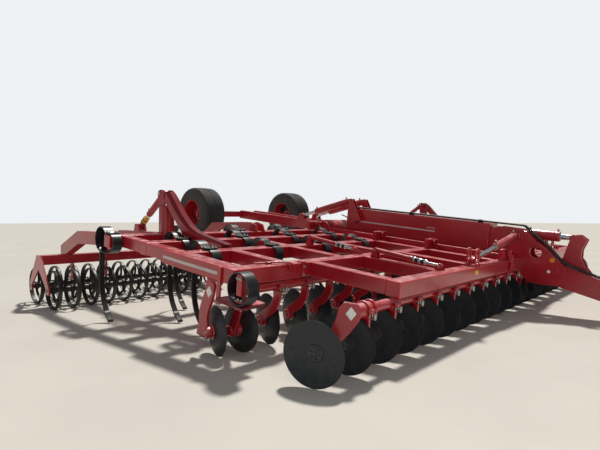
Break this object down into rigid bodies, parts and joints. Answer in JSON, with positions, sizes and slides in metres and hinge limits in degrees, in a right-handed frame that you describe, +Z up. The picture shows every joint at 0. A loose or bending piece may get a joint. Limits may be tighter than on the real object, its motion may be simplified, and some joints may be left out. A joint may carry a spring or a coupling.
{
  "type": "trailed disc and tine cultivator",
  "caption": "Wide folding cultivator on wheels: two rows of dished discs, looped spring tines and twin ring packers under a red beam frame, with a drawbar to a tractor.",
  "frame": {"origin": "on the ground under the middle of the whole machine's box", "axes": "+X forward to the tow eye, +Y to the machine's left across the wings, +Z up"},
  "size_m": [8.8698, 9.12, 1.915],
  "materials": {
    "red_paint": "gloss paint, dusty and worn at the edges",
    "tool_steel": "blue-black painted steel",
    "chrome": "hard chrome, polished",
    "tyre_rubber": "matt black rubber"
  },
  "bodies": {
    "machine_frame": {"main_beam": "red_paint", "centre_frame": "red_paint", "tower": "red_paint", "centre_discs": "tool_steel", "centre_disc_arms": "red_paint", "centre_tines": "tool_steel", "lift_brackets": "red_paint", "main_hoses": "tyre_rubber"},
    "drawbar": {"drawbar": "red_paint", "jack": "red_paint", "drawbar_hoses": "tyre_rubber"},
    "drawbar_barrel": {"drawbar_cylinder_barrel": "red_paint"},
    "drawbar_rod": {"drawbar_cylinder_rod": "chrome"},
    "running_gear": {"running_gear": "red_paint"},
    "lift_barrels": {"lift_cylinder_barrels": "red_paint"},
    "lift_rods": {"lift_cylinder_rods": "chrome"},
    "wheel_left": {"wheel_rim_left": "red_paint", "tyre_left": "tyre_rubber"},
    "wing_left": {"wing_frame_left": "red_paint", "wing_discs_left": "tool_steel", "wing_disc_arms_left": "red_paint", "wing_tines_left": "tool_steel", "packer_brackets_left": "red_paint", "packer_mast_left": "red_paint"},
    "fold_left_barrel": {"fold_cylinder_barrel_left": "red_paint"},
    "fold_left_rod": {"fold_cylinder_rod_left": "chrome"},
    "packer_left": {"packer_frame_left": "red_paint"},
    "roller_front_left": {"packer_roller_front_left": "tool_steel"},
    "roller_rear_left": {"packer_roller_rear_left": "tool_steel"},
    "packer_left_barrel": {"packer_cylinder_barrel_left": "red_paint"},
    "packer_left_rod": {"packer_cylinder_rod_left": "chrome"},
    "wheel_right": {"wheel_rim_right": "red_paint", "tyre_right": "tyre_rubber"},
    "wing_right": {"wing_frame_right": "red_paint", "wing_discs_right": "tool_steel", "wing_disc_arms_right": "red_paint", "wing_tines_right": "tool_steel", "packer_brackets_right": "red_paint", "packer_mast_right": "red_paint"},
    "fold_right_barrel": {"fold_cylinder_barrel_right": "red_paint"},
    "fold_right_rod": {"fold_cylinder_rod_right": "chrome"},
    "packer_right": {"packer_frame_right": "red_paint"},
    "roller_front_right": {"packer_roller_front_right": "tool_steel"},
    "roller_rear_right": {"packer_roller_rear_right": "tool_steel"},
    "packer_right_barrel": {"packer_cylinder_barrel_right": "red_paint"},
    "packer_right_rod": {"packer_cylinder_rod_right": "chrome"}
  },
  "joints": [
    {"name": "drawbar_pitch", "type": "hinge", "parent": "machine_frame", "child": "drawbar", "pos_m": [2.41, 0, 0.59], "axis": [0, 1, 0], "range_deg": [-10, 8]},
    {"name": "drawbar_cylinder_pivot", "type": "hinge", "parent": "machine_frame", "child": "drawbar_barrel", "pos_m": [1.96, 0, 1.08], "axis": [0, 1, 0], "range_deg": [-3.69, 3.15]},
    {"name": "drawbar_cylinder_slide", "type": "slide", "parent": "drawbar_barrel", "child": "drawbar_rod", "axis": [0.9972, 0, -0.0744], "range_m": [-0.0837, 0.0678]},
    {"name": "gear_lift", "type": "hinge", "parent": "machine_frame", "child": "running_gear", "pos_m": [-1.3, 0, 1.11], "axis": [0, 1, 0], "range_deg": [-29, 0]},
    {"name": "lift_cylinders_pivot", "type": "hinge", "parent": "machine_frame", "child": "lift_barrels", "pos_m": [-0.85, 0, 1.6], "axis": [0, 1, 0], "range_deg": [-16.8, 1]},
    {"name": "lift_cylinders_slide", "type": "slide", "parent": "lift_barrels", "child": "lift_rods", "axis": [-0.9768, 0, -0.2143], "range_m": [-0.004, 0.1571]},
    {"name": "wheel_left_spin", "type": "hinge", "parent": "running_gear", "child": "wheel_left", "pos_m": [-3.9, 1.29, 1.38], "axis": [0, 1, 0], "continuous": true},
    {"name": "wing_left_fold", "type": "hinge", "parent": "machine_frame", "child": "wing_left", "pos_m": [0.01672, 0.5, 1.02412], "axis": [0.9945, 0, -0.1045], "range_deg": [0, 90]},
    {"name": "fold_cylinder_left_pivot", "type": "hinge", "parent": "machine_frame", "child": "fold_left_barrel", "pos_m": [1.93036, 0.175, 1.05426], "axis": [0.9945, 0, -0.1045], "range_deg": [-1, 79.32]},
    {"name": "fold_cylinder_left_slide", "type": "slide", "parent": "fold_left_barrel", "child": "fold_left_rod", "axis": [-0.0181, 0.985, -0.1719], "range_m": [-0.5149, 0.004]},
    {"name": "packer_left_pitch", "type": "hinge", "parent": "wing_left", "child": "packer_left", "pos_m": [-1.59, 3.56, 1.03], "axis": [0, 1, 0], "range_deg": [-8, 6]},
    {"name": "roller_front_left_spin", "type": "hinge", "parent": "packer_left", "child": "roller_front_left", "pos_m": [-2.88, 3.075, 0.275], "axis": [0, 1, 0], "continuous": true},
    {"name": "roller_rear_left_spin", "type": "hinge", "parent": "packer_left", "child": "roller_rear_left", "pos_m": [-3.58, 3.075, 0.275], "axis": [0, 1, 0], "continuous": true},
    {"name": "packer_cylinder_left_pivot", "type": "hinge", "parent": "wing_left", "child": "packer_left_barrel", "pos_m": [-1.455, 3.56, 1.62], "axis": [0, 1, 0], "range_deg": [-4.66, 3.75]},
    {"name": "packer_cylinder_left_slide", "type": "slide", "parent": "packer_left_barrel", "child": "packer_left_rod", "axis": [-0.8292, 0, -0.5589], "range_m": [-0.0469, 0.0612]},
    {"name": "wheel_right_spin", "type": "hinge", "parent": "running_gear", "child": "wheel_right", "pos_m": [-3.9, -1.29, 1.38], "axis": [0, 1, 0], "continuous": true},
    {"name": "wing_right_fold", "type": "hinge", "parent": "machine_frame", "child": "wing_right", "pos_m": [0.01672, -0.5, 1.02412], "axis": [-0.9945, 0, 0.1045], "range_deg": [0, 90]},
    {"name": "fold_cylinder_right_pivot", "type": "hinge", "parent": "machine_frame", "child": "fold_right_barrel", "pos_m": [1.93036, -0.175, 1.05426], "axis": [-0.9945, 0, 0.1045], "range_deg": [-1, 79.32]},
    {"name": "fold_cylinder_right_slide", "type": "slide", "parent": "fold_right_barrel", "child": "fold_right_rod", "axis": [-0.0181, -0.985, -0.1719], "range_m": [-0.5149, 0.004]},
    {"name": "packer_right_pitch", "type": "hinge", "parent": "wing_right", "child": "packer_right", "pos_m": [-1.59, -3.56, 1.03], "axis": [0, 1, 0], "range_deg": [-8, 6]},
    {"name": "roller_front_right_spin", "type": "hinge", "parent": "packer_right", "child": "roller_front_right", "pos_m": [-2.88, -3.075, 0.275], "axis": [0, 1, 0], "continuous": true},
    {"name": "roller_rear_right_spin", "type": "hinge", "parent": "packer_right", "child": "roller_rear_right", "pos_m": [-3.58, -3.075, 0.275], "axis": [0, 1, 0], "continuous": true},
    {"name": "packer_cylinder_right_pivot", "type": "hinge", "parent": "wing_right", "child": "packer_right_barrel", "pos_m": [-1.455, -3.56, 1.62], "axis": [0, 1, 0], "range_deg": [-4.66, 3.75]},
    {"name": "packer_cylinder_right_slide", "type": "slide", "parent": "packer_right_barrel", "child": "packer_right_rod", "axis": [-0.8292, 0, -0.5589], "range_m": [-0.0469, 0.0612]}
  ],
  "couplings": [
    {"joint": "drawbar_cylinder_pivot", "follows": "drawbar_pitch", "ratio": 0.26936},
    {"joint": "drawbar_cylinder_slide", "follows": "drawbar_pitch", "m_per_rad": 0.45671},
    {"joint": "lift_cylinders_pivot", "follows": "gear_lift", "ratio": 0.54493},
    {"joint": "lift_cylinders_slide", "follows": "gear_lift", "m_per_rad": -0.30246},
    {"joint": "fold_cylinder_left_pivot", "follows": "wing_left_fold", "ratio": 0.87022},
    {"joint": "fold_cylinder_left_slide", "follows": "wing_left_fold", "m_per_rad": -0.32522},
    {"joint": "packer_cylinder_left_pivot", "follows": "packer_left_pitch", "ratio": 0.4579},
    {"joint": "packer_cylinder_left_slide", "follows": "packer_left_pitch", "m_per_rad": -0.40997},
    {"joint": "fold_cylinder_right_pivot", "follows": "wing_right_fold", "ratio": 0.87022},
    {"joint": "fold_cylinder_right_slide", "follows": "wing_right_fold", "m_per_rad": -0.32522},
    {"joint": "packer_cylinder_right_pivot", "follows": "packer_right_pitch", "ratio": 0.4579},
    {"joint": "packer_cylinder_right_slide", "follows": "packer_right_pitch", "m_per_rad": -0.40997}
  ]
}
